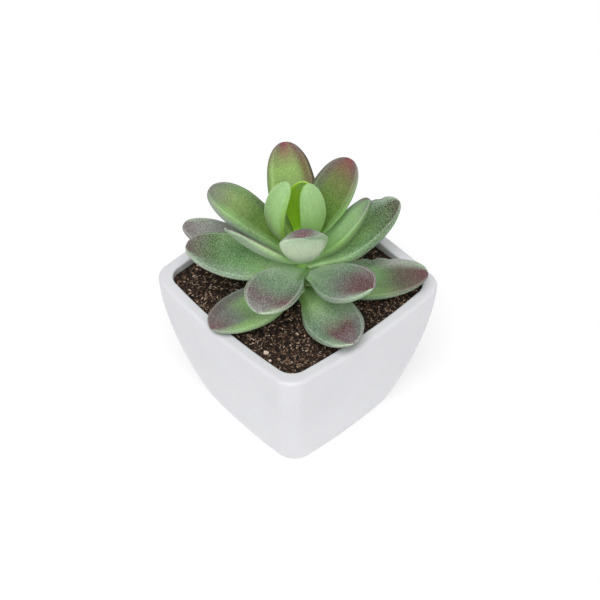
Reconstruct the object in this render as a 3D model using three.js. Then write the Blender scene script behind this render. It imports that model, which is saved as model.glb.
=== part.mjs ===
// A small rosette succulent growing in soil, in a square flared pot.
// Millimetres, +Z up. The origin is the centre of the pot's flat underside, and the pot's sides face
// along X and Y. Headings are degrees about +Z from +X, and slopes are degrees above the horizontal.
import * as THREE from 'three';

// Pot
const potHeight = 60;
const potRimHalf = 37.5;
const potBaseHalf = 26.5;
const potFlare = 1.7;
const potCorner = 8;
const potRimSwell = 1.6;
const potBaseSwell = 0.8;
const potFootRadius = 1.2;
const lipWidth = 4.2;
const lipDepth = 12;
const lipRadius = 1.3;
const cavityCorner = 6.5;
const wallThickness = 2.6;
const floorThickness = 3;

// Soil and stem. The soil is lowest round the stem, and rounded off a little where it meets the wall.
const soilBelowRim = 3;
const soilDish = 1.6;
const soilWaveHeight = 0.5;
const soilWaveLength = 20;
const soilEdgeDrop = 0.3;
const soilEdgeHeight = 1;
const socketDepth = 10;
const stemX = 0.9;
const stemY = 1.5;
const stemRadius = 3.2;
const stemTopRadius = 1.3;
const stemHeight = 22;
const gap = 0.3;

// Leaf section: an ellipse cut off flat above, where the dished face lies between its two edges. The
// further round the ellipse the edges are, the narrower the face and the wider the flanks beside it.
// The cup is how far the edges stand above the face's middle, as a share of the half width.
const wideFace = Math.PI * 0.14;
const slimFace = Math.PI * 0.2;
const faceCup = 0.1;
const curledCup = -0.35;
const poleDepth = 0.4;

// Leaf outline and thickness along its length
const baseWidthShare = 0.3;
const baseTaper = 1.25;
const tipFullness = 2.2;
const endThicknessShare = 0.35;
const bellyLean = 0.85;

// Mesh fineness
const potAround = 56;
const potRings = 9;
const roundSteps = 3;
const soilAround = 40;
const soilRings = 6;
const leafAround = 14;
const leafAlong = 14;
const faceSteps = 5;

const radians = THREE.MathUtils.degToRad;
const lerp = THREE.MathUtils.lerp;

// A point of a rounded square whose sides swell outwards, after `turn` of a full turn from +X.
// Each quarter turn runs half a side, a corner's arc as long as two of those, and half a side.
function squarePoint(turn, half, corner, swell) {
  const quarter = Math.floor(turn * 4);
  const within = turn * 4 - quarter;
  const straight = half - corner;
  const mirrored = within > 0.5;
  const along = (mirrored ? 1 - within : within) * 4;
  const point = new THREE.Vector2();
  if (along < 1) {
    point.set(half + swell * (1 - along * along), straight * along);
  } else {
    const angle = (along - 1) * Math.PI / 4;
    point.set(straight + corner * Math.cos(angle), straight + corner * Math.sin(angle));
  }
  if (mirrored) {
    point.set(point.y, point.x);
  }
  return point.rotateAround(new THREE.Vector2(), quarter * Math.PI / 2);
}

// A closed solid of square rings, each { half, corner, swell, z, x, y }, from axis to axis.
function squareLoft(rings, around, lift = () => 0) {
  const profile = rings.map((ring) => new THREE.Vector2(ring.half, ring.z));
  const geometry = new THREE.LatheGeometry(profile, around);
  const position = geometry.attributes.position;
  for (let side = 0; side <= around; side += 1) {
    rings.forEach((ring, index) => {
      const turn = (side % around) / around;
      const point = squarePoint(turn, ring.half, ring.corner, ring.swell);
      const x = point.x + (ring.x ?? 0);
      const y = point.y + (ring.y ?? 0);
      position.setXYZ(side * rings.length + index, x, y, ring.z + (ring.loose ? lift(x, y) : 0));
    });
  }
  geometry.computeVertexNormals();
  return geometry;
}

// The pot's outer half width at a height, leaning out quickly at first and less towards the rim.
function potHalfAt(z) {
  const share = THREE.MathUtils.clamp(z / potHeight, 0, 1);
  return lerp(potBaseHalf, potRimHalf, 1 - (1 - share) ** potFlare);
}

function potSwellAt(z) {
  return lerp(potBaseSwell, potRimSwell, z / potHeight);
}

// The pot's inner half width at a height: a thin wall that thickens into the lip.
function cavityHalfAt(z) {
  const nearRim = THREE.MathUtils.smoothstep(z, potHeight - lipDepth, potHeight - lipRadius);
  return potHalfAt(z) - lerp(wallThickness, lipWidth, nearRim);
}

function ringAt(half, z, corner) {
  return { half, corner, swell: potSwellAt(z), z };
}

function makePot() {
  const axis = { half: 0, corner: 0, swell: 0, z: 0 };
  const rings = [axis];
  for (let step = 0; step <= roundSteps; step += 1) {
    const angle = (step / roundSteps) * Math.PI / 2;
    const inset = potFootRadius * (1 - Math.sin(angle));
    const z = potFootRadius * (1 - Math.cos(angle));
    rings.push(ringAt(potHalfAt(z) - inset, z, potCorner - inset));
  }
  const shoulder = potHeight - lipRadius;
  for (let step = 1; step <= potRings; step += 1) {
    const z = lerp(potFootRadius, shoulder, step / potRings);
    rings.push(ringAt(potHalfAt(z), z, potCorner));
  }
  for (let step = 1; step <= roundSteps; step += 1) {
    const angle = (step / roundSteps) * Math.PI / 2;
    const inset = lipRadius * (1 - Math.cos(angle));
    rings.push(ringAt(potRimHalf - inset, shoulder + lipRadius * Math.sin(angle), potCorner - inset));
  }
  const innerEdge = potRimHalf - lipWidth;
  for (let step = 0; step <= roundSteps; step += 1) {
    const angle = (step / roundSteps) * Math.PI / 2;
    const outset = lipRadius * (1 - Math.sin(angle));
    rings.push(ringAt(innerEdge + outset, shoulder + lipRadius * Math.cos(angle), cavityCorner + outset));
  }
  for (let step = 1; step <= potRings; step += 1) {
    const z = lerp(shoulder, floorThickness + potFootRadius, step / potRings);
    rings.push(ringAt(cavityHalfAt(z), z, cavityCorner));
  }
  const floorHalf = cavityHalfAt(floorThickness) - potFootRadius;
  rings.push(ringAt(floorHalf, floorThickness, cavityCorner - potFootRadius));
  rings.push({ ...axis, z: floorThickness });
  return squareLoft(rings, potAround);
}

// The ground's gentle unevenness: a few long waves of different lengths.
function soilLift(x, y) {
  const across = x * 2 * Math.PI / soilWaveLength;
  const along = y * 2 * Math.PI / soilWaveLength;
  const waves = Math.sin(across + 1) * Math.cos(along) + Math.sin(0.4 * across - 1.3 * along) / 2;
  const fromStem = Math.hypot(x - stemX, y - stemY) / potRimHalf;
  return soilWaveHeight * waves - soilDish * Math.max(0, 1 - fromStem);
}

// Soil fills the pot and has a socket that the stem stands in.
function makeSoil() {
  const level = potHeight - soilBelowRim;
  const bottom = floorThickness + gap;
  const socketRadius = stemRadius + gap;
  const axis = { half: 0, corner: 0, swell: 0 };
  const edgeHalf = cavityHalfAt(level) - gap;
  const rings = [{ ...axis, z: bottom }];
  const bottomInset = potFootRadius + gap;
  rings.push(ringAt(cavityHalfAt(bottom) - bottomInset, bottom, cavityCorner - bottomInset));
  for (let step = 0; step <= soilRings; step += 1) {
    const z = lerp(bottom + potFootRadius, level - soilEdgeHeight, step / soilRings);
    rings.push(ringAt(cavityHalfAt(z) - gap, z, cavityCorner - gap));
  }
  for (let step = 0; step <= soilRings; step += 1) {
    const share = step / soilRings;
    const half = lerp(edgeHalf, socketRadius, share);
    const corner = lerp(cavityCorner - gap, socketRadius, share ** 2);
    const swell = potRimSwell * (1 - share);
    const z = step === 0 ? level - soilEdgeDrop : level;
    rings.push({ half, corner, swell, z, x: stemX * share, y: stemY * share, loose: true });
  }
  const socket = { half: socketRadius, corner: socketRadius, swell: 0, x: stemX, y: stemY };
  rings.push({ ...socket, z: level - socketDepth });
  rings.push({ ...axis, z: level - socketDepth, x: stemX, y: stemY });
  return squareLoft(rings, soilAround, soilLift);
}

// A short tapering stem with a rounded top, standing in the soil's socket.
function makeStem() {
  const foot = potHeight - soilBelowRim - socketDepth + gap;
  const top = potHeight - soilBelowRim + stemHeight;
  const profile = [
    new THREE.Vector2(0, foot),
    new THREE.Vector2(stemRadius, foot),
    new THREE.Vector2(stemRadius, potHeight),
    new THREE.Vector2(stemTopRadius, top - stemTopRadius),
    new THREE.Vector2(stemTopRadius * Math.SQRT1_2, top - stemTopRadius * (1 - Math.SQRT1_2)),
    new THREE.Vector2(0, top),
  ];
  const geometry = new THREE.LatheGeometry(profile, leafAround);
  geometry.rotateX(Math.PI / 2);
  geometry.translate(stemX, stemY, 0);
  return geometry;
}

// The stem's radius at a height, which leaf bases start from.
function stemRadiusAt(z) {
  const top = potHeight - soilBelowRim + stemHeight;
  const share = THREE.MathUtils.clamp((z - potHeight) / (top - potHeight), 0, 1);
  return lerp(stemRadius, stemTopRadius, share);
}

// A leaf's share of its full width, from its narrow base to its round tip.
function widthShare(share, { base, widest }) {
  if (share < widest) {
    return lerp(base, 1, Math.sin(share / widest * Math.PI / 2) ** baseTaper);
  }
  const past = (share - widest) / (1 - widest);
  return Math.sqrt(Math.max(0, 1 - past ** tipFullness));
}

// Its share of its full thickness: thin where it joins the stem and at the tip.
function thicknessShare(share) {
  return lerp(endThicknessShare, 1, Math.sin(Math.PI * share ** bellyLean));
}

// One column of a leaf's section, on the face for the first few and round the back for the rest.
// Across is -1 to 1 of the half width, and up is in shares of the thickness above the face's edge.
function sectionPoint(column, edgeAngle) {
  if (column <= faceSteps) {
    const across = Math.cos(edgeAngle) * (2 * column / faceSteps - 1);
    return { across, up: 0, dish: 1 - (across / Math.cos(edgeAngle)) ** 2 };
  }
  const share = (column - faceSteps) / (leafAround - faceSteps);
  const angle = lerp(edgeAngle, -Math.PI - edgeAngle, share);
  const up = (Math.sin(angle) - Math.sin(edgeAngle)) / (1 + Math.sin(edgeAngle));
  return { across: Math.cos(angle), up, dish: 0 };
}

// How far along a leaf each row of its mesh lies: close together at both round ends.
function rowShare(row) {
  return (1 - Math.cos(row / leafAlong * Math.PI)) / 2;
}

// The slope of a leaf's middle line, from `rise` at the stem to `tipRise`. A larger bend curls later.
function slopeAt(leaf, share) {
  return radians(lerp(leaf.rise, leaf.tipRise, share ** leaf.bend));
}

// Where the middle line of a leaf's face is at each row: a walk out from the stem in an upright plane.
function middleLine(leaf) {
  const places = [new THREE.Vector2(leaf.start, leaf.seat)];
  for (let row = 1; row <= leafAlong; row += 1) {
    const step = leaf.length * (rowShare(row) - rowShare(row - 1));
    const slope = slopeAt(leaf, (rowShare(row) + rowShare(row - 1)) / 2);
    const place = places[row - 1].clone();
    places.push(place.add(new THREE.Vector2(Math.cos(slope), Math.sin(slope)).multiplyScalar(step)));
  }
  return places;
}

// A leaf is a sphere whose rows are moved to sections along the middle line, pole to pole.
function makeLeaf(leaf) {
  const geometry = new THREE.SphereGeometry(1, leafAround, leafAlong);
  const position = geometry.attributes.position;
  const outward = new THREE.Vector3(Math.cos(radians(leaf.heading)), Math.sin(radians(leaf.heading)), 0);
  const above = new THREE.Vector3(0, 0, 1);
  const sideways = new THREE.Vector3().crossVectors(above, outward);
  const middle = middleLine(leaf);
  for (let row = 0; row <= leafAlong; row += 1) {
    const share = rowShare(row);
    const slope = slopeAt(leaf, share);
    const atPole = row === 0 || row === leafAlong;
    const normal = outward.clone().multiplyScalar(-Math.sin(slope)).addScaledVector(above, Math.cos(slope));
    const side = sideways.clone().multiplyScalar(Math.cos(radians(leaf.roll)));
    side.addScaledVector(normal, Math.sin(radians(leaf.roll)));
    normal.multiplyScalar(Math.cos(radians(leaf.roll)));
    normal.addScaledVector(sideways, -Math.sin(radians(leaf.roll)));
    const half = leaf.width / 2 * widthShare(share, leaf);
    const thickness = leaf.thickness * thicknessShare(share);
    const edgeUp = half * leaf.cup;
    for (let column = 0; column <= leafAround; column += 1) {
      const section = sectionPoint(column % leafAround, leaf.edge);
      const height = atPole ? -poleDepth * thickness : edgeUp * (1 - section.dish) + thickness * section.up;
      const point = outward.clone().multiplyScalar(middle[row].x);
      point.addScaledVector(above, middle[row].y);
      point.addScaledVector(side, atPole ? 0 : half * section.across);
      point.addScaledVector(normal, height);
      position.setXYZ(row * (leafAround + 1) + column, point.x + stemX, point.y + stemY, point.z);
    }
  }
  geometry.computeVertexNormals();
  return geometry;
}

// Leaves by whorl, from the lowest up. Each leaf sets what differs from its whorl's usual leaf, which
// sets what differs from a plain one.
const plainLeaf = {
  roll: 0,
  bend: 1,
  widest: 0.54,
  cup: faceCup,
  edge: wideFace,
  base: baseWidthShare,
  thickness: 4.5,
};
const whorls = [
  {
    name: 'outer_leaf',
    usual: { seat: 59, rise: 10, tipRise: 16, length: 40, width: 17.5, widest: 0.53 },
    color: 0x6c9068,
    leaves: [
      { heading: 269, rise: 12, tipRise: 4, length: 38.5, width: 18, roll: -6, seat: 58.2 },
      { heading: 342, rise: 10, tipRise: 19, length: 39.5, width: 19, roll: 16, seat: 57.8 },
      { heading: 41, rise: -2, tipRise: 19, length: 41.5, width: 18.5, widest: 0.5, roll: 7, seat: 61.6 },
      { heading: 123, rise: 12, tipRise: 20 },
      { heading: 208, rise: 24, tipRise: 8, length: 43.5, width: 17, seat: 60.5 },
    ],
  },
  {
    name: 'middle_leaf',
    usual: { seat: 67, rise: 18, tipRise: 30, length: 38, width: 17.5 },
    color: 0x648a66,
    leaves: [
      { heading: 293, rise: 38, tipRise: -4, length: 35.5, width: 18, widest: 0.65, seat: 66.8, roll: -7 },
      { heading: 359, rise: 17, tipRise: 35, length: 36, width: 17, roll: 20, seat: 66.5, base: 0.25 },
      {
        heading: 65,
        rise: 20,
        tipRise: 41,
        length: 37.8,
        width: 19,
        widest: 0.4,
        seat: 68.6,
        roll: 7,
        thickness: 3.8,
        edge: slimFace,
      },
      { heading: 146, rise: 22, tipRise: 32, seat: 66 },
      { heading: 232, rise: 18, tipRise: 19, length: 39.5, width: 18, roll: -16, seat: 66 },
    ],
  },
  {
    name: 'inner_leaf',
    usual: { seat: 70.9, rise: 50, tipRise: 40, length: 37, width: 16.5 },
    color: 0x79a45c,
    leaves: [
      {
        heading: 317,
        rise: 69,
        tipRise: -15,
        bend: 5,
        length: 33,
        seat: 73,
        base: 0.4,
        widest: 0.7,
        roll: 8,
        cup: curledCup,
      },
      { heading: 57, rise: 44, tipRise: 54, length: 31.5, width: 15.5, seat: 70, roll: -10 },
      {
        heading: 94,
        rise: 59,
        tipRise: 36,
        length: 33.5,
        width: 15.6,
        widest: 0.58,
        seat: 76,
        roll: 12,
        edge: slimFace,
      },
      {
        heading: 150,
        rise: 52,
        tipRise: 35,
        length: 37.5,
        width: 17.5,
        seat: 73.5,
        roll: 7,
        edge: slimFace,
      },
      {
        heading: 208,
        rise: 50,
        tipRise: 18,
        length: 39,
        width: 18,
        widest: 0.65,
        thickness: 5.6,
        edge: slimFace,
      },
      {
        heading: 246,
        rise: 39,
        tipRise: 48,
        length: 33,
        seat: 69.2,
        base: 0.25,
        roll: 29,
        thickness: 3.6,
      },
    ],
  },
  {
    name: 'bud_leaf',
    usual: { seat: 78, rise: 70, tipRise: 105, length: 28, width: 11, thickness: 2.8 },
    color: 0x93c463,
    leaves: [
      { heading: 253, rise: 33, tipRise: 135, length: 33, roll: 11 },
      { heading: 9, rise: 66, tipRise: 116, roll: -11 },
      { heading: 137, rise: 74, tipRise: 100, length: 25, width: 12 },
    ],
  },
];

function named(name, geometry, color, roughness) {
  const mesh = new THREE.Mesh(geometry, new THREE.MeshStandardMaterial({ color, roughness, metalness: 0 }));
  mesh.name = name;
  return mesh;
}

const plant = new THREE.Group();
plant.add(named('pot', makePot(), 0xdcdbdf, 0.45));
plant.add(named('soil', makeSoil(), 0x2e211b, 0.95));
plant.add(named('stem', makeStem(), 0x6f8a4e, 0.8));
for (const { name, usual, color, leaves } of whorls) {
  leaves.forEach((own, index) => {
    const leaf = { ...plainLeaf, ...usual, ...own };
    leaf.start = stemRadiusAt(leaf.seat) + gap;
    plant.add(named(`${name}_${index + 1}`, makeLeaf(leaf), color, 0.85));
  });
}

export default plant;
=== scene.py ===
import math
import random

import bmesh
import bpy
import numpy as np
from mathutils import Matrix, Vector, noise
from mathutils.bvhtree import BVHTree


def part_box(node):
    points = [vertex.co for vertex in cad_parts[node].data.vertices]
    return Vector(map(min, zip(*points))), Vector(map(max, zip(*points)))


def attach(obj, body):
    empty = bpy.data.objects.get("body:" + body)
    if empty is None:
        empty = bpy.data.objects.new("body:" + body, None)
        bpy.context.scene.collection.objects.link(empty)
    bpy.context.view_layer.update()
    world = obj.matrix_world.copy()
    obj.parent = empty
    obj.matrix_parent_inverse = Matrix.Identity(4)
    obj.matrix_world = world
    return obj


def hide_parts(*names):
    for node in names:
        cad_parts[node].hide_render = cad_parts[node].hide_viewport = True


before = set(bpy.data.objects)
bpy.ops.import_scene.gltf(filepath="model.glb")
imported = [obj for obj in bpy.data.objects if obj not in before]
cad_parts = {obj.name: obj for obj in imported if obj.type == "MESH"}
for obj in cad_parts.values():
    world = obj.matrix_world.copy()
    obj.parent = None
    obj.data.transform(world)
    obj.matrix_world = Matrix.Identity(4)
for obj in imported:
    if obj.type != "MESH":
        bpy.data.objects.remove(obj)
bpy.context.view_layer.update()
mm = 0.001
lumpShare = 0.55              # a lump of noise is about this share of its wave


class Signal:
    # an output socket that can stand in ordinary sums
    def __init__(self, tree, socket=None):
        self.tree = tree
        self.socket = socket

    def node(self, kind, settings=None, sockets=None, output=0):
        made = self.tree.nodes.new("ShaderNode" + kind)
        for name, value in (settings or {}).items():
            if name == "stops":
                self.setStops(made.color_ramp, value)
            else:
                setattr(made, name, value)
        for name, value in (sockets or {}).items():
            self.feed(made.inputs[name], value)
        return Signal(self.tree, made.outputs[output])

    def feed(self, socket, value):
        if isinstance(value, Signal):
            self.tree.links.new(value.socket, socket)
        else:
            socket.default_value = value

    def setStops(self, ramp, stops):
        while len(ramp.elements) < len(stops):
            ramp.elements.new(1)
        for element, (place, colour) in zip(ramp.elements, stops):
            element.position = place
            element.color = colour

    def sum(self, operation, first, second):
        return self.node("Math", {"operation": operation}, {0: first, 1: second})

    def __add__(self, other):
        return self.sum("ADD", self, other)

    __radd__ = __add__

    def __sub__(self, other):
        return self.sum("SUBTRACT", self, other)

    def __rsub__(self, other):
        return self.sum("SUBTRACT", other, self)

    def __mul__(self, other):
        return self.sum("MULTIPLY", self, other)

    __rmul__ = __mul__

    def spread(self, low, high, newLow=0.0, newHigh=1.0):
        # from low to high becomes newLow to newHigh, with soft ends
        sockets = {"Value": self, "From Min": low, "From Max": high, "To Min": newLow, "To Max": newHigh}
        return self.node("MapRange", {"interpolation_type": "SMOOTHSTEP"}, sockets)

    def blend(self, low, high):
        # colour low where this is 0 and colour high where it is 1
        return self.node("Mix", {"data_type": "RGBA"}, {0: self, 6: low, 7: high}, 2)

    def stretch(self, factors):
        return self.node("VectorMath", {"operation": "MULTIPLY"}, {0: self, 1: factors})

    def grain(self, size, detail=2.0, roughness=0.5):
        # noise whose lumps are about this size in metres
        sockets = {"Vector": self, "Scale": lumpShare / size, "Detail": detail, "Roughness": roughness}
        return self.node("TexNoise", None, sockets, "Fac")


def tint(red, green, blue):
    # a colour as seen on screen, 0 to 255, turned into the light that shaders work in
    parts = [channel / 255 for channel in (red, green, blue)]
    return (*[p / 12.92 if p <= 0.04045 else ((p + 0.055) / 1.055) ** 2.4 for p in parts], 1.0)


def startMaterial(name, **fixed):
    material = bpy.data.materials.new(name)
    material.use_nodes = True
    tree = material.node_tree
    shader = next(node for node in tree.nodes if node.type == "BSDF_PRINCIPLED")
    for socket, value in fixed.items():
        shader.inputs[socket.replace("_", " ")].default_value = value
    return material, Signal(tree), shader


def attribute(signal, name, output="Fac"):
    return signal.node("Attribute", {"attribute_name": name}, None, output)


def addPiece(name, points, faces, material, stands=(), smooth=True, values=None):
    mesh = bpy.data.meshes.new(name)
    mesh.from_pydata([tuple(point) for point in points], [], [tuple(face) for face in faces])
    mesh.materials.append(material)
    mesh.polygons.foreach_set("use_smooth", [smooth] * len(mesh.polygons))
    for label, numbers in (values or {}).items():
        numbers = np.asarray(numbers, np.float32)
        kind, field = ("FLOAT_VECTOR", "vector") if numbers.ndim == 2 else ("FLOAT", "value")
        mesh.attributes.new(label, kind, "POINT").data.foreach_set(field, numbers.ravel())
    mesh.update()
    piece = bpy.data.objects.new(name, mesh)
    bpy.context.scene.collection.objects.link(piece)
    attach(piece, "root")
    if stands:
        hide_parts(*stands)


def curveThrough(points, steps, before=None, after=None):
    # a smooth curve through points along the first axis, with this many steps between neighbours
    before = 2 * points[0] - points[1] if before is None else before
    after = 2 * points[-1] - points[-2] if after is None else after
    held = np.concatenate([before[None], points, after[None]])
    made = []
    for index in range(len(points) - 1):
        p0, p1, p2, p3 = held[index:index + 4]
        for step in range(steps):
            t = step / steps
            made.append(0.5 * (2 * p1 + (p2 - p0) * t + (2 * p0 - 5 * p1 + 4 * p2 - p3) * t ** 2
                               + (3 * p1 - p0 - 3 * p2 + p3) * t ** 3))
    made.append(points[-1])
    return np.array(made)


def ringFaces(rings, around):
    # quads between neighbouring closed rings
    index = np.arange(rings * around).reshape(rings, around)
    ahead = np.roll(index, -1, axis=1)
    return np.stack([index[:-1], ahead[:-1], ahead[1:], index[1:]], axis=-1).reshape(-1, 4)


def smoothStep(value):
    value = np.clip(value, 0, 1)
    return value * value * (3 - 2 * value)


potLook = {
    "flare": 1.7,            # how quickly the sides lean out above the foot
    "baseHalf": 26.5 * mm,
    "corner": 8 * mm,
    "innerCorner": 6.5 * mm,
    "footRadius": 1.2 * mm,
    "lipWidth": 4.2 * mm,
    "lipRadius": 1.3 * mm,
    "innerRadius": 0.7 * mm,
    "lipDepth": 12 * mm,
    "wall": 2.6 * mm,
    "floor": 3 * mm,
    "swellLow": 0.8 * mm,
    "swellHigh": 1.6 * mm,
    "around": 208,
    "cornerGrowth": 0.7,      # how fast the corners widen across the lip
    "bendSteps": 8,           # rings round each rounded edge
    "sideSteps": 36,
    "insideSteps": 30,
    "lipSteps": 5,
    "colour": tint(228, 228, 232),
    "shadeColour": tint(224, 224, 228),
}


def squareRing(half, corner, swell, count):
    # a rounded square whose sides swell outwards, as count points from +X
    points = []
    for index in range(count):
        quarter, within = divmod(index / count * 4, 1)
        mirrored = within > 0.5
        along = (1 - within if mirrored else within) * 4
        straight = half - corner
        if along < 1:
            x, y = half + swell * (1 - along * along), straight * along
        else:
            angle = (along - 1) * math.pi / 4
            x, y = straight + corner * math.cos(angle), straight + corner * math.sin(angle)
        if mirrored:
            x, y = y, x
        turn = quarter * math.pi / 2
        points.append((x * math.cos(turn) - y * math.sin(turn), x * math.sin(turn) + y * math.cos(turn)))
    return np.array(points)


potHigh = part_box("pot")[1]
potHeight = potHigh.z
rimHalf = potHigh.x - potLook["swellHigh"]


def potHalfAt(z):
    # half the pot's width at this height
    share = 1 - (1 - min(max(z / potHeight, 0), 1)) ** potLook["flare"]
    return potLook["baseHalf"] + (rimHalf - potLook["baseHalf"]) * share


def cavityHalfAt(z):
    # half the width of its hollow, whose wall thickens towards the lip
    rise = z - potHeight + potLook["lipDepth"]
    share = float(smoothStep(rise / (potLook["lipDepth"] - potLook["lipRadius"])))
    return potHalfAt(z) - potLook["wall"] - (potLook["lipWidth"] - potLook["wall"]) * share


def potSwellAt(z):
    return potLook["swellLow"] + (potLook["swellHigh"] - potLook["swellLow"]) * z / potHeight


def bendAngles(steps):
    return [step / steps * math.pi / 2 for step in range(steps + 1)]


def potRings():
    # half width, height and corner radius of each ring: foot, side, lip, hollow and its floor
    look = potLook
    foot, lip, inside = look["footRadius"], look["lipRadius"], look["innerRadius"]
    rings = []
    for share in (0.05, 0.3, 0.55, 0.8, 0.93):
        rings.append(((look["baseHalf"] - foot) * share, 0, (look["corner"] - foot) * share))
    for angle in bendAngles(look["bendSteps"]):
        z, inset = foot * (1 - math.cos(angle)), foot * (1 - math.sin(angle))
        rings.append((potHalfAt(z) - inset, z, look["corner"] - inset))
    for step in range(1, look["sideSteps"] + 1):
        z = foot + (potHeight - lip - foot) * step / look["sideSteps"]
        rings.append((potHalfAt(z), z, look["corner"]))
    for angle in bendAngles(look["bendSteps"])[1:]:
        inset = lip * (1 - math.cos(angle))
        rings.append((rimHalf - inset, potHeight - lip + lip * math.sin(angle), look["corner"] - inset))
    inner = rimHalf - look["lipWidth"]
    for step in range(look["lipSteps"] - 1, 0, -1):
        outset = inside + (look["lipWidth"] - lip - inside) * step / look["lipSteps"]
        rings.append((inner + outset, potHeight, look["innerCorner"] + outset * look["cornerGrowth"]))
    for angle in bendAngles(look["bendSteps"]):
        outset = inside * (1 - math.sin(angle))
        z = potHeight - inside + inside * math.cos(angle)
        rings.append((inner + outset, z, look["innerCorner"] + outset))
    for step in range(1, look["insideSteps"] + 1):
        z = potHeight - inside - (potHeight - inside - look["floor"] - foot) * step / look["insideSteps"]
        rings.append((cavityHalfAt(z), z, look["innerCorner"]))
    floorHalf = cavityHalfAt(look["floor"]) - foot
    for share in (1, 0.6, 0.25, 0.05):
        rings.append((floorHalf * share, look["floor"], (look["innerCorner"] - foot) * share))
    return rings


def makePot():
    around = potLook["around"]
    rings = potRings()
    points = []
    for half, z, corner in rings:
        swell = potSwellAt(z) * min(1, half / potHalfAt(z))
        points += [(x, y, z) for x, y in squareRing(half, corner, swell, around)]
    faces = [tuple(face) for face in ringFaces(len(rings), around)]
    faces.append(tuple(reversed(range(around))))
    faces.append(tuple(range(len(points) - around, len(points))))
    return points, faces


def potFinish():
    material, start, shader = startMaterial(
        "whiteSatinPlastic", Coat_Weight=0.12, Coat_Roughness=0.25,
        Subsurface_Weight=0.08, Subsurface_Scale=1.5 * mm)
    place = start.node("TexCoord", None, None, "Object")
    cloud = place.grain(18 * mm, 3).spread(0.3, 0.7)
    pores = place.grain(0.45 * mm, 3, 0.6)
    start.feed(shader.inputs["Base Color"], cloud.blend(potLook["shadeColour"], potLook["colour"]))
    start.feed(shader.inputs["Roughness"], 0.36 + 0.10 * place.grain(6 * mm, 2) + 0.06 * pores)
    height = 0.7 * place.grain(9 * mm, 2) + 0.05 * pores
    bump = start.node("Bump", None, {"Height": height, "Strength": 0.25, "Distance": 0.18 * mm})
    start.feed(shader.inputs["Normal"], bump)
    return material


print("pot")
potPoints, potFaces = makePot()
addPiece("pot_moulded", potPoints, potFaces, potFinish(), ["pot"])


soilLook = {
    "around": 200,
    "rings": 84,
    "reach": 0.985,           # the bed's rings close in by this share towards the stem
    "overlap": 0.1 * mm,      # how far the bed runs into the pot's wall
    "socketFrom": 4 * mm,     # anything deeper is the stem's socket
    "socketDepth": 2.2 * mm,  # level of the mix inside it
    "lumps": 0.55 * mm,       # height of the clods
    "skirtDepths": (6 * mm, 2 * mm),
    "stemRoom": 3.4 * mm,     # no loose grain lies nearer the stem's axis
    "seed": 41,
    "ground": tint(58, 42, 34),
    "dark": tint(20, 16, 13),
    "brown": tint(66, 52, 44),
    "rust": tint(120, 88, 68),
    "tan": tint(186, 162, 136),
    "pale": tint(240, 216, 200),
}

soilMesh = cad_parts["soil"].data
soilTree = BVHTree.FromPolygons([v.co for v in soilMesh.vertices], [p.vertices for p in soilMesh.polygons])
stemLow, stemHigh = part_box("stem")
stemMiddle = (stemLow + stemHigh) / 2
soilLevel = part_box("soil")[1].z


def soilTopAt(x, y):
    # the packed soil's own height there, or its mean level over the stem's socket
    found = soilTree.ray_cast(Vector((x, y, soilLevel + 5 * mm)), Vector((0, 0, -1)))[0]
    if found is None or found.z < soilLevel - soilLook["socketFrom"]:
        return soilLevel - soilLook["socketDepth"]
    return found.z


def insideSoil(x, y, margin):
    # whether a point is this far inside the rounded square of the pot's mouth
    half = cavityHalfAt(soilLevel) - margin
    corner = potLook["innerCorner"]
    over = Vector((max(abs(x) - half + corner, 0), max(abs(y) - half + corner, 0)))
    return over.length < corner


def clods(x, y):
    # how far lumps of three sizes lift the mix here
    place = Vector((x, y, 0.013)) / mm
    broad = noise.noise(place / 5)
    middle = noise.noise(place / 1.7 + Vector((7, 3, 0)))
    fine = noise.noise(place / 0.7 + Vector((1, 9, 4)))
    return soilLook["lumps"] * (0.7 * broad + 0.55 * middle + 0.3 * fine)


def makeSoil():
    look, around = soilLook, soilLook["around"]
    edge = cavityHalfAt(soilLevel) + look["overlap"]
    points = []
    for z in (soilLevel - depth for depth in look["skirtDepths"]):
        ring = squareRing(cavityHalfAt(z), potLook["innerCorner"], potSwellAt(z), around)
        points += [(x, y, z) for x, y in ring]
    for index in range(look["rings"]):
        share = 1 - index / (look["rings"] - 1) * look["reach"]
        corner, swell = potLook["innerCorner"] * share, potSwellAt(soilLevel) * share
        for x, y in squareRing(edge * share, corner, swell, around):
            x, y = x + stemMiddle.x * (1 - share), y + stemMiddle.y * (1 - share)
            lift = clods(x, y) * min(1, (1 - share) * 12 + 0.4)
            points.append((x, y, soilTopAt(x * look["reach"], y * look["reach"]) + lift))
    faces = [tuple(face) for face in ringFaces(look["rings"] + len(look["skirtDepths"]), around)]
    faces.append(tuple(range(len(points) - around, len(points))))
    return points, faces


def soilFinish():
    material, start, shader = startMaterial("dampPottingMix", Specular_IOR_Level=0.25)
    place = start.node("TexCoord", None, None, "Object")
    patch = place.grain(3 * mm, 4, 0.65)
    speck = place.grain(0.5 * mm, 3, 0.7)
    ground = patch.spread(0.35, 0.7).blend(soilLook["dark"], soilLook["ground"])
    colour = speck.spread(0.62, 0.78, 0, 0.7).blend(ground, soilLook["rust"])
    start.feed(shader.inputs["Base Color"], colour)
    start.feed(shader.inputs["Roughness"], 0.72 + 0.22 * patch)
    height = place.grain(0.9 * mm, 5, 0.7)
    bump = start.node("Bump", None, {"Height": height, "Strength": 0.9, "Distance": 0.4 * mm})
    start.feed(shader.inputs["Normal"], bump)
    return material


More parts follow.
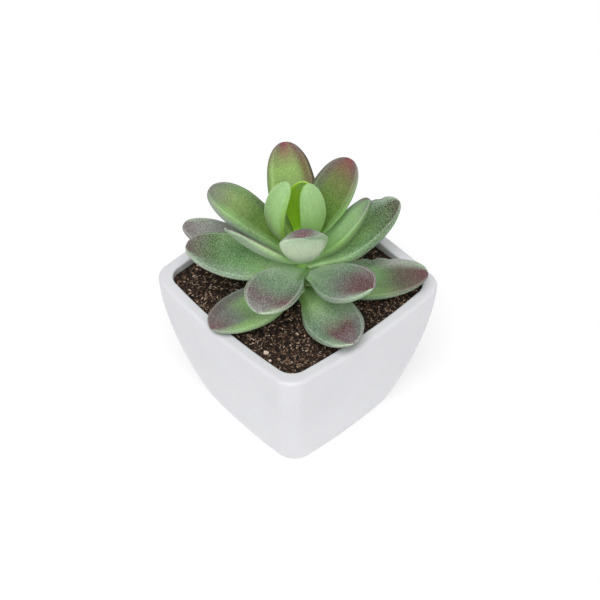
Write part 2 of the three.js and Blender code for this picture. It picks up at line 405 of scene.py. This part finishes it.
def grainFinish(name, stops, rough):
    # each grain has its own tone, and a little mottling over it
    material, start, shader = startMaterial(name, Specular_IOR_Level=0.3)
    place = start.node("TexCoord", None, None, "Object")
    tone = attribute(start, "tone") + 0.25 * (place.grain(0.4 * mm, 3) - 0.5)
    colour = start.node("ValToRGB", {"stops": stops}, {"Fac": tone}, "Color")
    start.feed(shader.inputs["Base Color"], colour)
    start.feed(shader.inputs["Roughness"], rough + 0.2 * place.grain(0.8 * mm, 2))
    height = place.grain(0.22 * mm, 3)
    bump = start.node("Bump", None, {"Height": height, "Strength": 0.5, "Distance": 0.1 * mm})
    start.feed(shader.inputs["Normal"], bump)
    return material


def chipShape(dice):
    # an uneven six-sided flake
    corners = [(x, y, z) for x in (-1, 1) for y in (-1, 1) for z in (-1, 1)]
    points = [[c * dice.uniform(0.55, 1) for c in corner] for corner in corners]
    faces = [(0, 1, 3, 2), (4, 6, 7, 5), (0, 4, 5, 1), (2, 3, 7, 6), (0, 2, 6, 4), (1, 5, 7, 3)]
    return np.array(points), faces


def crumbShape(dice):
    # a rough round crumb
    lump = bmesh.new()
    bmesh.ops.create_icosphere(lump, subdivisions=1, radius=1)
    points = np.array([v.co * dice.uniform(0.72, 1.12) for v in lump.verts])
    faces = [tuple(v.index for v in f.verts) for f in lump.faces]
    lump.free()
    return points, faces


def fibreShape(dice):
    # a thin bent strand along X: three numbers for its middle line, and two for how far out from it
    points, faces = [], []
    steps = 6
    bendY, bendZ = dice.uniform(-0.35, 0.35), dice.uniform(0, 0.12)
    kink = dice.uniform(-0.1, 0.1)
    for step in range(steps + 1):
        along = 2 * step / steps - 1
        thick = 1 - 0.75 * abs(along) ** 3
        middle = (along, bendY * (along ** 2 - 0.4) + kink * math.sin(3 * along), bendZ * (1 - along ** 2))
        for y, z in ((-1, -1), (1, -1), (1, 1), (-1, 1)):
            points.append((*middle, y * thick, z * thick))
    for step in range(steps):
        for side in range(4):
            a, b = step * 4 + side, step * 4 + (side + 1) % 4
            faces.append((a, a + 4, b + 4, b))
    last = 4 * steps
    faces += [(0, 1, 2, 3), (last + 3, last + 2, last + 1, last)]
    return np.array(points), faces


def sized(base, size):
    # a strand's middle line grows with its length alone, and other grains grow along each side
    if base.shape[1] == 3:
        return base * np.array(size)
    line = base[:, :3] * size[0]
    line[:, 1] += base[:, 3] * size[1]
    line[:, 2] += base[:, 4] * size[2]
    return line


def turned(dice, tilt):
    heading = Matrix.Rotation(dice.uniform(0, 2 * math.pi), 3, "Z")
    leaning = Matrix.Rotation(dice.gauss(0, tilt), 3, "X")
    return np.array(heading @ leaning @ Matrix.Rotation(dice.gauss(0, tilt), 3, "Y"))


def scatter(look, dice, byHand=()):
    # many grains as one mesh. Its last argument lists grains with a place of their own: x, y, z, size, tone
    spots = []
    while len(spots) < look["count"]:
        x, y = dice.uniform(-rimHalf, rimHalf), dice.uniform(-rimHalf, rimHalf)
        if not insideSoil(x, y, look["margin"]):
            continue
        if math.hypot(x - stemMiddle.x, y - stemMiddle.y) < soilLook["stemRoom"]:
            continue
        size = look["size"](dice)
        z = soilTopAt(x, y) + clods(x, y) + look["lift"] * size[2]
        spots.append((x, y, z, size, look["tone"](dice)))
    points, faces, tones = [], [], []
    for x, y, z, size, tone in spots + list(byHand):
        base, own = look["shape"](dice)
        points.append(sized(base, size) @ turned(dice, look["tilt"]).T + np.array((x, y, z)))
        faces += [tuple(i + len(tones) for i in face) for face in own]
        tones += [tone] * len(base)
    return np.concatenate(points), faces, tones


def darkTone(dice):
    return 0.03 + 0.45 * dice.random() ** 2.3


def mixedTone(dice):
    return 0.08 + 0.85 * dice.random() ** 1.7


def paleTone(dice):
    return 0.35 + 0.6 * dice.random() ** 1.3


def crumbSize(dice):
    size = dice.uniform(0.18, 0.5) * mm
    return size, size * dice.uniform(0.7, 1), size * dice.uniform(0.6, 0.9)


def chipSize(dice):
    return dice.uniform(0.25, 0.9) * mm, dice.uniform(0.12, 0.32) * mm, dice.uniform(0.06, 0.16) * mm


def fibreSize(dice):
    return dice.uniform(0.35, 1.1) * mm, dice.uniform(0.06, 0.14) * mm, dice.uniform(0.05, 0.1) * mm


# lift: how high a grain's middle lies, in its own thicknesses. margin: how far it keeps from the pot
crumbLook = {
    "count": 7500, "shape": crumbShape, "size": crumbSize, "tone": darkTone,
    "tilt": 0.6, "lift": 0.25, "margin": 0.5 * mm,
}
chipLook = {
    "count": 7500, "shape": chipShape, "size": chipSize, "tone": mixedTone,
    "tilt": 0.45, "lift": 0.6, "margin": 0.4 * mm,
}
fibreLook = {
    "count": 1500, "shape": fibreShape, "size": fibreSize, "tone": paleTone,
    "tilt": 0.12, "lift": 2.4, "margin": 1.2 * mm,
}

# crumbs that have strayed on to the lip
strayCrumbs = [
    (5.6 * mm, -34.8 * mm, potHeight + 0.2 * mm, (0.42 * mm, 0.38 * mm, 0.3 * mm), 0.05),
    (-29.4 * mm, -33.6 * mm, potHeight - 0.6 * mm, (0.45 * mm, 0.35 * mm, 0.3 * mm), 0.1),
    (27.6 * mm, 34.9 * mm, potHeight + 0.15 * mm, (0.36 * mm, 0.3 * mm, 0.25 * mm), 0.15),
]
# two pale chips of bark lie near the front corner
paleChips = [
    (17.4 * mm, -30.3 * mm, soilLevel + 0.25 * mm, (1.0 * mm, 0.75 * mm, 0.4 * mm), 0.97),
    (21.6 * mm, -32.2 * mm, soilLevel + 1.0 * mm, (0.5 * mm, 0.45 * mm, 0.4 * mm), 1.0),
]
grainStops = [(0.0, soilLook["dark"]), (0.35, soilLook["brown"]), (0.62, soilLook["rust"]),
              (0.85, soilLook["tan"]), (1.0, soilLook["pale"])]

print("soil")
dice = random.Random(soilLook["seed"])
soilPoints, soilFaces = makeSoil()
addPiece("soil_bed", soilPoints, soilFaces, soilFinish(), ["soil"])

barkFinish = grainFinish("barkCrumbs", grainStops, 0.7)
fibreFinish = grainFinish("coirFibres", grainStops, 0.6)
points, faces, tones = scatter(crumbLook, dice, strayCrumbs)
addPiece("soil_crumbs", points, faces, barkFinish, smooth=False, values={"tone": tones})
points, faces, tones = scatter(chipLook, dice, paleChips)
addPiece("soil_chips", points, faces, barkFinish, smooth=False, values={"tone": tones})
points, faces, tones = scatter(fibreLook, dice)
addPiece("soil_fibres", points, faces, fibreFinish, values={"tone": tones})


stemLook = {
    "around": 48,
    "rings": 60,
    "grow": 0.7 * mm,         # how far it swells where leaves join it
    "taper": 0.6,
    "scar": 0.16 * mm,        # height of the scars of fallen leaves
    "crown": 2.5 * mm,        # depth of its rounded top
    "greenFrom": 58 * mm,     # it turns from the low colour to the high one between these heights
    "greenTo": 66 * mm,
    "low": tint(120, 132, 84),
    "high": tint(176, 222, 120),
    "fluff": tint(214, 222, 204),
}


def makeStem():
    look, around = stemLook, stemLook["around"]
    radius = (stemHigh.x - stemLow.x) / 2
    low, high = stemLow.z + 1 * mm, stemHigh.z
    points = []
    for row in range(look["rings"]):
        z = low + (high - low) * row / (look["rings"] - 1)
        share = min(max((z - potHeight) / (high - potHeight), 0), 1)
        closing = smoothStep((z - high + look["crown"]) / look["crown"])
        body = radius * (1 - look["taper"] * share) * math.sqrt(max(0.0, 1 - closing ** 2) + 0.001)
        for column in range(around):
            turn = column / around * 2 * math.pi
            scar = math.sin(5 * turn + z / mm * 1.1) * math.sin(z / mm * 1.9 - 2 * turn)
            out = body + look["grow"] * share * (1 - share) * 2 + look["scar"] * scar * (1 - share)
            points.append((stemMiddle.x + out * math.cos(turn), stemMiddle.y + out * math.sin(turn), z))
    faces = [tuple(face) for face in ringFaces(look["rings"], around)]
    faces.append(tuple(reversed(range(around))))
    faces.append(tuple(range(len(points) - around, len(points))))
    return points, faces


def stemFinish():
    material, start, shader = startMaterial(
        "stemSkin", Specular_IOR_Level=0.25, Sheen_Weight=0.2, Sheen_Roughness=0.5)
    place = start.node("TexCoord", None, None, "Object")
    level = start.node("SeparateXYZ", None, {"Vector": place}, "Z")
    upper = level.spread(stemLook["greenFrom"], stemLook["greenTo"])
    colour = upper.blend(stemLook["low"], stemLook["high"])
    fluff = place.grain(0.35 * mm, 2).spread(0.52, 0.66, 0, 0.35)
    start.feed(shader.inputs["Base Color"], fluff.blend(colour, stemLook["fluff"]))
    start.feed(shader.inputs["Roughness"], 0.75 + 0.15 * place.grain(1.5 * mm))
    height = place.grain(0.6 * mm, 4)
    bump = start.node("Bump", None, {"Height": height, "Strength": 0.5, "Distance": 0.2 * mm})
    start.feed(shader.inputs["Normal"], bump)
    return material


print("stem")
stemPoints, stemFaces = makeStem()
addPiece("stem_scarred", stemPoints, stemFaces, stemFinish(), ["stem"])


leafLook = {
    "alongSteps": 5,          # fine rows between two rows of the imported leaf
    "aroundSteps": 5,
    "rimSoftness": 3,         # how often the edge between face and back is eased
    "wave": 0.22 * mm,        # how far the edges wander
    "waveLength": 5.5 * mm,
    "napRoot": 0.35,          # nap at the root, as a share of the nap further out
    "napFull": 0.45,          # where along the leaf the nap is full
    "napUnder": 0.6,          # nap of the back, as a share of the face's
    "seed": 100,
    "rootReach": 2.4 * mm,    # how far a leaf's root runs on into the stem
    "rootWiden": 0.45,
    "rootShare": 0.16,        # the part of its length that this takes
    "rimNapGlintWidth": 0.3 * mm,     # the pale thread along the edges, partly nap and partly a painted highlight where the edges catch light
    "dentWidth": 0.03,        # half width of a notch, as a share of the length
    "drift": 0.05,            # how far the paint strays along the leaf
    "fluff": tint(212, 221, 210),
    "shadow": tint(40, 36, 38),
}

# colours that the leaves are painted with
palette = {
    # painted light: near white on near flanks and on roots that lie in shade, standing for light falling
    # there
    "snow": tint(232, 250, 216),
    "lime": tint(190, 240, 98),
    "pale": tint(206, 242, 176),
    "rime": tint(192, 218, 184),
    "mint": tint(172, 210, 148),
    "apple": tint(154, 198, 120),
    "jade": tint(122, 168, 108),
    "celery": tint(154, 188, 106),
    "butter": tint(138, 180, 72),
    # the inner bud leaf's own yellow-green, brightened as painted light shining through the bud leaves in
    # front
    "yolk": tint(176, 222, 60),
    "spring": tint(146, 172, 104),
    "grass": tint(124, 160, 94),
    "fern": tint(98, 134, 54),
    "leaf": tint(100, 130, 82),
    "forest": tint(92, 116, 66),
    "bronze": tint(118, 126, 74),
    "umber": tint(122, 112, 72),
    "teal": tint(126, 154, 124),
    "shade": tint(104, 122, 100),
    "sage": tint(146, 174, 140),
    "frosted": tint(168, 188, 162),
    "silver": tint(160, 162, 156),
    "ash": tint(136, 138, 130),
    "pewter": tint(120, 126, 118),
    "slate": tint(106, 100, 96),
    "mauve": tint(140, 126, 130),
    "plum": tint(120, 102, 104),
    "maroon": tint(124, 90, 96),
    "wine": tint(116, 74, 82),
    "ruby": tint(142, 80, 90),
    "rose": tint(136, 112, 104),
    "olive": tint(110, 110, 88),
    "moss": tint(98, 92, 76),
    # painted shade: dark grey laid on the far flanks, where they turn away from the light
    "dusk": tint(66, 62, 58),
}

# Paint of each leaf, from the palette, at even steps from root to tip. right, middle and left are parts
# of its face as seen from the stem, backRight and backLeft are the flanks under its edges, and back is
# the rest of its back. The far flanks are painted dark as painted shade. The near flanks are pale, partly
# frosted nap and partly painted light, and some roots that lie in shade are painted pale as painted light.
# nap: how strongly the flock shows. wrap: how far the face's colours run on round the edge. dents: notches
# in the edges, with the side (1 for left), the share of the length and the depth.
leafPaint = {
    "outer_leaf_1": {"right": "grass grass pewter slate plum", "middle": "grass apple apple pewter maroon",
                     "left": "mint pale pale apple silver",
                     "backRight": "dusk dusk silver", "backLeft": "rime mint ash", "nap": 0.55},
    "outer_leaf_2": {"right": "fern grass teal teal rime", "middle": "fern mint sage wine mauve",
                     "left": "snow snow rime pewter ash",
                     "backRight": "rime frosted ash", "backLeft": "rime sage silver", "nap": 0.8},
    "outer_leaf_3": {"right": "grass apple apple olive wine", "middle": "grass apple jade moss wine",
                     "left": "pale rime shade silver frosted",
                     "backRight": "mint sage pewter", "backLeft": "rime silver silver", "nap": 0.55,
                     "dents": [(1, 0.5, 0.9 * mm), (1, 0.66, 0.6 * mm)]},
    "outer_leaf_4": {"right": "pale mint teal teal plum", "middle": "mint apple teal ash plum",
                     "left": "mint apple sage ash mauve",
                     "backRight": "sage sage pewter", "backLeft": "sage sage pewter", "nap": 0.7},
    "outer_leaf_5": {"right": "mint sage silver silver frosted", "middle": "mint sage silver silver mauve",
                     "left": "mint sage mauve silver mauve",
                     "backRight": "dusk pewter ash", "backLeft": "silver silver ash", "nap": 0.8},
    "middle_leaf_1": {"right": "pale rime frosted teal plum silver",
                      "middle": "mint rime sage teal plum silver",
                      "left": "apple grass teal shade maroon rime",
                      "backRight": "rime sage frosted", "backLeft": "grass sage frosted", "nap": 0.85},
    "middle_leaf_2": {"right": "mint teal teal silver rime", "middle": "rime sage pewter wine wine",
                      "left": "mint frosted teal mauve maroon",
                      "backRight": "sage frosted sage", "backLeft": "sage silver ash", "nap": 0.8},
    "middle_leaf_3": {"right": "pale mint jade leaf moss", "middle": "pale mint apple leaf moss",
                      "left": "pale mint mint teal frosted",
                      "backRight": "grass shade sage", "backLeft": "dusk dusk silver", "nap": 0.8,
                      "dents": [(1, 0.86, 0.8 * mm)]},
    "middle_leaf_4": {"right": "pale mint grass leaf plum", "middle": "pale mint grass leaf plum",
                      "left": "pale mint teal leaf ash",
                      "backRight": "mint sage pewter", "backLeft": "mint sage pewter", "nap": 0.7},
    "middle_leaf_5": {"right": "snow rime mint leaf plum", "middle": "snow mint jade leaf plum",
                      "left": "pale apple sage teal frosted",
                      "backRight": "dusk dusk silver", "backLeft": "sage frosted silver", "nap": 0.75},
    "inner_leaf_1": {"right": "pale pale pale rime plum", "middle": "pale pale rime mauve maroon",
                     "left": "pale pale pale rime plum",
                     "backRight": "rime snow rime", "backLeft": "rime mint sage", "nap": 0.7,
                     "back": "rime snow rime"},
    "inner_leaf_2": {"right": "mint apple apple mint silver", "middle": "apple apple mint mint sage",
                     "left": "pale pale mint sage mauve",
                     "backRight": "mint grass leaf", "backLeft": "pale sage dusk", "nap": 0.35},
    "inner_leaf_3": {"right": "butter fern fern bronze maroon", "middle": "butter fern fern bronze ruby",
                     "left": "butter fern leaf olive maroon",
                     "backRight": "mint apple silver", "backLeft": "olive dusk silver", "nap": 0.45,
                     "back": "butter apple sage plum"},
    "inner_leaf_4": {"right": "lime butter umber umber maroon", "middle": "lime celery spring celery ruby",
                     "left": "lime celery celery celery maroon",
                     "backRight": "olive dusk dusk", "backLeft": "mint grass rose", "nap": 0.45,
                     "back": "butter apple sage plum"},
    "inner_leaf_5": {"right": "pale fern forest grass ash", "middle": "lime butter fern spring ash",
                     "left": "pale apple grass apple ash",
                     "backRight": "dusk dusk pewter", "backLeft": "mint teal silver", "nap": 0.55},
    "inner_leaf_6": {"right": "mint mint mauve plum plum", "middle": "pale mint mauve maroon plum",
                     "left": "pale mint plum maroon plum",
                     "backRight": "snow snow frosted", "backLeft": "pale pale frosted", "nap": 0.7,
                     "wrap": 1.3, "back": "pale rime sage"},
    "bud_leaf_1": {"right": "lime lime celery celery apple", "middle": "lime lime celery celery apple",
                   "left": "lime lime celery celery apple",
                   "backRight": "butter pale mint", "backLeft": "butter butter apple", "nap": 0.4,
                   "back": "butter apple mint"},
    "bud_leaf_2": {"right": "lime lime celery celery apple", "middle": "lime lime celery celery apple",
                   "left": "lime lime celery celery apple",
                   "backRight": "butter apple apple", "backLeft": "lime apple mint", "nap": 0.4,
                   "back": "butter apple mint"},
    "bud_leaf_3": {"right": "yolk yolk yolk yolk yolk", "middle": "lime yolk yolk yolk celery",
                   "left": "lime yolk yolk yolk yolk",
                   "backRight": "lime lime celery", "backLeft": "lime lime celery", "nap": 0.1,
                   "back": "lime celery apple"},
}

usualBack = "mint apple sage pewter"
faceColumns = 6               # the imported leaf's ring has six points on the face, edge to edge
ringColumns = 14


def leafRings(name):
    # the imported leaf's root point, its rings from root to tip, and its tip point
    mesh = bmesh.new()
    mesh.from_mesh(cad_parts[name].data)
    bmesh.ops.remove_doubles(mesh, verts=mesh.verts, dist=0.001 * mm)
    poles = sorted((v for v in mesh.verts if len(v.link_edges) == ringColumns), key=lambda v: v.co.z)
    root, tip = poles[0], poles[-1]
    outward = root.co - stemMiddle
    sideways = Vector((0, 0, 1)).cross(Vector((outward.x, outward.y, 0))).normalized()
    rings, seen, front, before = [], {root}, [root], root.co
    while True:
        front = {edge.other_vert(v) for v in front for edge in v.link_edges} - seen
        if front == {tip}:
            break
        seen |= front
        rings.append(sortedRing(front, sideways, before))
        before = sum((v.co for v in front), Vector()) / ringColumns
    points = np.array([[tuple(v.co) for v in ring] for ring in rings])
    ends = np.array(root.co), np.array(tip.co)
    mesh.free()
    return ends[0], points, ends[1]


def sortedRing(ring, sideways, before):
    # from the face's right edge across to its left, then back round underneath
    places = np.array([tuple(v.co) for v in ring])
    middle = places.mean(0)
    axes = np.linalg.svd(places - middle)[2]
    side = axes[0] * (1 if axes[0] @ np.array(sideways) > 0 else -1)
    ahead = axes[2] * (1 if axes[2] @ (middle - np.array(before)) > 0 else -1)
    above = np.cross(ahead, side)
    spots = {v: ((np.array(v.co) - middle) @ side, (np.array(v.co) - middle) @ above) for v in ring}
    beside = {v: [e.other_vert(v) for e in v.link_edges if e.other_vert(v) in spots] for v in ring}
    # of the two steps that cross the middle line, the upper one is on the face
    crossing = [(v, other) for v in ring for other in beside[v] if spots[v][0] < 0 <= spots[other][0]]
    right, left = max(crossing, key=lambda pair: spots[pair[0]][1] + spots[pair[1]][1])
    order = [left, right]
    while len(order) < ringColumns:
        order.append(next(v for v in beside[order[-1]] if v not in order))
    start = faceColumns // 2 + 1
    return order[start - 1::-1] + order[:start - 1:-1]


def fineLeaf(name):
    # points by row and column, with how far along, across and underneath each lies
    look = leafLook
    root, rings, tip = leafRings(name)
    rows = []
    for column in rings.transpose(1, 0, 2):
        full = np.concatenate([root[None], column, tip[None]])
        before = 2 * rings[0].mean(0) - column[0]
        after = 2 * rings[-1].mean(0) - column[-1]
        rows.append(curveThrough(full, look["alongSteps"], before, after))
    grid = np.array(rows)
    face = curveThrough(grid[:faceColumns], look["aroundSteps"])
    back = curveThrough(np.concatenate([grid[faceColumns - 1:], grid[:1]]), look["aroundSteps"])
    fine = np.concatenate([face[:-1], back[:-1]]).transpose(1, 0, 2)
    faceCount, count = len(face), fine.shape[1]
    for easing in range(look["rimSoftness"]):
        eased = 0.5 * fine + 0.25 * (np.roll(fine, 1, 1) + np.roll(fine, -1, 1))
        near = [(c + shift) % count for c in (0, faceCount - 1) for shift in (-1, 0, 1)]
        fine[:, near] = eased[:, near]
    backCount = count - faceCount + 2
    share = (1 - np.cos(np.linspace(0, math.pi, fine.shape[0]))) / 2
    across = np.concatenate([np.linspace(-1, 1, faceCount), np.linspace(1, -1, backCount)[1:-1]])
    under = np.concatenate([np.zeros(faceCount), np.sin(np.linspace(0, math.pi, backCount)[1:-1])])
    return fine, share, across, under, faceCount


def stripe(names, share):
    # palette colours laid out evenly along the leaf
    stops = np.array([palette[name][:3] for name in names.split()])
    places = np.linspace(0, 1, len(stops))
    return np.stack([np.interp(share, places, stops[:, channel]) for channel in range(3)], -1)


def paintOf(paint, share, across, under, seat):
    # the colour of every point: three stripes of face side by side, a flank under each edge, and the back
    drift = [noise.noise(Vector((s * 4, a * 1.6, seat))) for s in share for a in across]
    drift = np.reshape(drift, (len(share), len(across))) * leafLook["drift"]
    along = np.clip(share[:, None] + drift, 0, 1)
    edge = smoothStep((np.abs(across) - 0.35) / 0.5)[None, :, None]
    lefts = smoothStep((across + 0.5) / 1.0)[None, :, None]
    sides = stripe(paint["right"], along) * (1 - lefts) + stripe(paint["left"], along) * lefts
    face = stripe(paint["middle"], along) * (1 - edge) + sides * edge
    flank = stripe(paint["backRight"], along) * (1 - lefts) + stripe(paint["backLeft"], along) * lefts
    turned = smoothStep(under * 3 / paint.get("wrap", 1))[None, :, None]
    below = smoothStep((under - 0.55) / 0.35)[None, :, None]
    flank += (stripe(paint.get("back", usualBack), along) - flank) * below
    return face + (flank - face) * turned


def dentAt(paint, side, share):
    # how far notches pull this edge in
    dents = [dent[1:] for dent in paint.get("dents", []) if dent[0] == side]
    return sum(deep * math.exp(-((share - where) / leafLook["dentWidth"]) ** 2) for where, deep in dents)


def makeLeaf(name, number):
    look, paint = leafLook, leafPaint[name]
    dice = random.Random(leafLook["seed"] + number)
    fine, share, across, under, faceCount = fineLeaf(name)
    rows, count = fine.shape[:2]
    middle = fine.mean(1)
    half = np.linalg.norm(fine[:, faceCount - 1] - fine[:, 0], axis=1) / 2
    length = np.linalg.norm(np.diff(middle, axis=0), axis=1).sum()
    # edges wander a little
    seat = dice.uniform(0, 50)
    for row in range(1, rows - 1):
        side = fine[row, faceCount - 1] - fine[row, 0]
        side /= max(np.linalg.norm(side), 1e-9)
        ease = math.sin(math.pi * share[row]) ** 0.5
        for sign, low in ((-1, 0), (1, 9)):
            spot = Vector((share[row] * length / look["waveLength"], low, seat))
            drift = noise.noise(spot) * look["wave"] * ease - dentAt(paint, sign, share[row])
            amount = smoothStep((across * sign - 0.3) / 0.7) * sign * drift
            fine[row] += amount[:, None] * side
    # the root runs on into the stem, and is fuller there
    nearRoot = np.clip(1 - share / look["rootShare"], 0, 1) ** 1.5
    fine += (look["rootWiden"] * nearRoot)[:, None, None] * (fine - middle[:, None])
    inward = np.array((stemMiddle.x, stemMiddle.y)) - middle[0, :2]
    inward /= max(np.linalg.norm(inward), 1e-9)
    fine[:, :, :2] += (look["rootReach"] * nearRoot)[:, None, None] * inward
    # pale thread along the edges, partly nap and partly painted highlight, and nap that is thinner at the
    # root and on the back
    gap = np.minimum(np.abs(across - 1), np.abs(across + 1))
    offset = gap[None] * np.maximum(half, 0.3 * mm)[:, None]
    rim = np.exp(-(offset / look["rimNapGlintWidth"]) ** 2)
    onFace = np.broadcast_to(1 - (1 - look["napUnder"]) * smoothStep(under * 3), (rows, count))
    rising = look["napRoot"] + (1 - look["napRoot"]) * smoothStep(share / look["napFull"])
    nap = paint["nap"] * rising[:, None] * onFace
    place = np.stack([np.broadcast_to(across * 8, (rows, count)),
                      np.broadcast_to(share[:, None] * length / mm, (rows, count)),
                      np.broadcast_to(under[None] * 5 + number * 17, (rows, count))], -1)
    values = {
        "paint": paintOf(paint, share, across, under, seat).reshape(-1, 3),
        "rim": rim.ravel(),
        "nap": nap.ravel(),
        "place": place.reshape(-1, 3),
    }
    faces = ringFaces(rows, count)[:, ::-1]
    return fine.reshape(-1, 3), faces, values


def leafFinish(name, streaks, glow):
    # painted skin with a mottle and fine streaks, under dark gaps and pale tufts of flock
    look = leafLook
    material, start, shader = startMaterial(
        name, Specular_IOR_Level=0.2, Sheen_Weight=0.12, Sheen_Roughness=0.4, Sheen_Tint=tint(236, 244, 236),
        Subsurface_Weight=glow, Subsurface_Scale=1.5 * mm, Subsurface_Radius=(0.6, 1.0, 0.3))
    place = start.node("TexCoord", None, None, "Object")
    run = attribute(start, "place", "Vector")
    paint = attribute(start, "paint", "Color")
    rim, nap = attribute(start, "rim"), attribute(start, "nap")
    mottle = place.grain(2.2 * mm, 3, 0.6)
    streak = run.stretch((1.2, 0.09, 1)).grain(0.55, 3)
    shift = 0.5 * (mottle - 0.5) + streaks * (streak - 0.5)
    skin = (0.5 + shift).blend(paint.stretch((0.78, 0.78, 0.8)), paint.stretch((1.2, 1.2, 1.16)))
    speck = place.grain(0.22 * mm, 2, 0.6)
    darker = (nap * speck.spread(0.56, 0.40, 0, 0.5)).blend(skin, look["shadow"])
    # the pale thread along the edges adds a painted highlight to the nap's pale tufts
    lighter = nap * (speck.spread(0.48, 0.68, 0, 0.42) + 0.5 * rim * (0.4 + speck))
    tuft = nap.blend(paint.stretch((1.8, 1.8, 1.8)), look["fluff"])
    start.feed(shader.inputs["Base Color"], lighter.blend(darker, tuft))
    start.feed(shader.inputs["Roughness"], 0.78 + 0.18 * mottle)
    height = place.grain(0.36 * mm, 3, 0.7) + 0.8 * mottle + 0.25 * streaks * streak
    bump = start.node("Bump", None, {"Height": height, "Strength": 0.5, "Distance": 0.14 * mm})
    start.feed(shader.inputs["Normal"], bump)
    return material


print("leaves")
leafSkin = leafFinish("flockedLeaf", streaks=0.12, glow=0.08)
budSkin = leafFinish("flockedBud", streaks=0.9, glow=0.35)
for number, name in enumerate(leafPaint):
    points, faces, values = makeLeaf(name, number)
    young = name.startswith("bud")
    addPiece(name + "_flocked", points, faces, budSkin if young else leafSkin,
             [name], values=values)


stageLook = {
    "floorSize": 6.0,
    "floorDrop": 0.2 * mm,
    "floorDark": tint(192, 192, 192),
    "floorPale": tint(196, 196, 196),
    "sky": (1.0, 1.0, 1.0, 1.0),
    "skyStrength": 0.25,
    "skyBehind": 0.6,         # how much brighter the empty backdrop looks than the light it sheds
    "floorGlow": 0.5,
}


def floorFinish():
    material, start, shader = startMaterial("paleFloor", Specular_IOR_Level=0.1)
    place = start.node("TexCoord", None, None, "Object")
    cloud = place.grain(150 * mm, 2)
    start.feed(shader.inputs["Base Color"], cloud.blend(stageLook["floorDark"], stageLook["floorPale"]))
    shader.inputs["Emission Color"].default_value = stageLook["sky"]
    shader.inputs["Emission Strength"].default_value = stageLook["floorGlow"]
    start.feed(shader.inputs["Roughness"], 0.7 + 0.1 * cloud)
    return material


def addLight(name, direction, spread, strength):
    # far soft light that comes from this direction, spread over this many degrees
    lamp = bpy.data.lights.new(name, "SUN")
    lamp.angle = math.radians(spread)
    lamp.energy = strength
    holder = bpy.data.objects.new(name, lamp)
    holder.rotation_mode = "QUATERNION"
    holder.rotation_quaternion = (-direction).to_track_quat("-Z", "Y")
    bpy.context.scene.collection.objects.link(holder)


print("stage")
reach = stageLook["floorSize"] / 2
floorMesh = bpy.data.meshes.new("floor")
floorCorners = [(-reach, -reach, 0), (reach, -reach, 0), (reach, reach, 0), (-reach, reach, 0)]
floorMesh.from_pydata(floorCorners, [], [(0, 1, 2, 3)])
floorMesh.materials.append(floorFinish())
floor = bpy.data.objects.new("floor", floorMesh)
floor.location.z = -stageLook["floorDrop"]
bpy.context.scene.collection.objects.link(floor)

world = bpy.data.worlds.new("studio")
world.use_nodes = True
sky = world.node_tree.nodes["Background"]
sky.inputs["Color"].default_value = stageLook["sky"]
seen = Signal(world.node_tree).node("LightPath")
seen.feed(sky.inputs["Strength"], stageLook["skyStrength"] + stageLook["skyBehind"] * seen)
bpy.context.scene.world = world
bpy.context.scene.view_settings.view_transform = "Standard"

cameraLook = {
    "azimuth": math.radians(47.7),
    "elevation": math.radians(45.9),
    "distance": 534.6 * mm,
    "aim": Vector((0.59, 0.65, 49.2)) * mm,
    "lens": 88.87,
    "sensor": 36,
    "clip": (0.01, 20),
}
ahead = Vector((-math.sin(cameraLook["azimuth"]), math.cos(cameraLook["azimuth"]), 0))
right = Vector((ahead.y, -ahead.x, 0))
up = Vector((0, 0, 1))
addLight("key", 1.9 * up - ahead - 0.2 * right, 40, 2.1)
addLight("front", up - ahead + 0.4 * right, 40, 0.4)
addLight("back", 0.8 * up + ahead, 60, 0.3)

camera = bpy.data.objects.new("camera", bpy.data.cameras.new("camera"))
camera.data.sensor_width = cameraLook["sensor"]
camera.data.lens = cameraLook["lens"]
toCamera = -ahead * math.cos(cameraLook["elevation"]) + Vector((0, 0, math.sin(cameraLook["elevation"])))
camera.location = cameraLook["aim"] + toCamera * cameraLook["distance"]
camera.rotation_mode = "QUATERNION"
camera.rotation_quaternion = (-toCamera).to_track_quat("-Z", "Y")
camera.data.clip_start, camera.data.clip_end = cameraLook["clip"]
bpy.context.scene.collection.objects.link(camera)
bpy.context.scene.camera = camera
